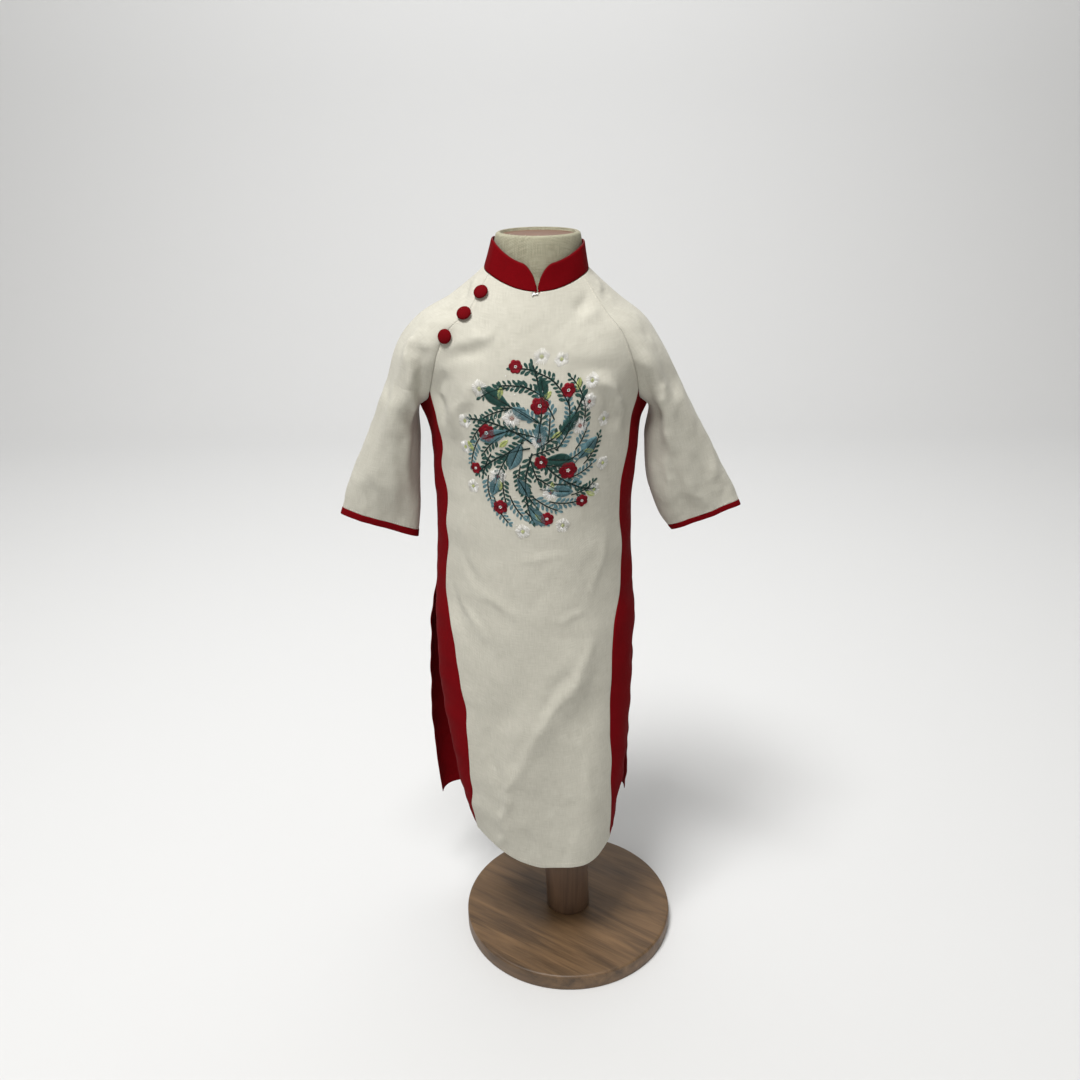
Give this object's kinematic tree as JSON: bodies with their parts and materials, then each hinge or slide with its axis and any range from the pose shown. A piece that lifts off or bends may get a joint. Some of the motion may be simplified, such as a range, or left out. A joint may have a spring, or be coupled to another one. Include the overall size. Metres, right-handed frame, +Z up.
{
  "type": "child's ao dai on a limbless dress form",
  "caption": "Child's ao dai with stand collar, raglan half sleeves, side strips and open front and back flaps, on a limbless dress form with a round wooden base.",
  "frame": {"origin": "middle of the underside of the round base", "axes": "+X to the wearer's left, -Y to the front, +Z up"},
  "size_m": [0.4274, 0.253, 0.839],
  "materials": {
    "cream_linen": "cream plain-weave linen and cotton cloth",
    "red_cotton": "dark red plain-weave cotton",
    "red_button_cloth": "red cloth stretched over domed buttons",
    "hook_metal": "small plated hook",
    "form_linen": "natural linen cover of the dress form",
    "stand_wood": "mid-brown stained wood, satin"
  },
  "bodies": {
    "root": {"front_panel": "cream_linen", "back_panel": "cream_linen", "sleeve_right": "cream_linen", "sleeve_left": "cream_linen", "side_front_right": "red_cotton", "side_front_left": "red_cotton", "side_back_right": "red_cotton", "side_back_left": "red_cotton", "cuff_right": "red_cotton", "cuff_left": "red_cotton", "collar": "red_cotton", "button_1": "red_button_cloth", "button_2": "red_button_cloth", "button_3": "red_button_cloth", "collar_hook": "hook_metal", "form_body": "form_linen", "neck_cap": "stand_wood", "stand_pole": "stand_wood", "stand_base": "stand_wood"}
  },
  "joints": []
}
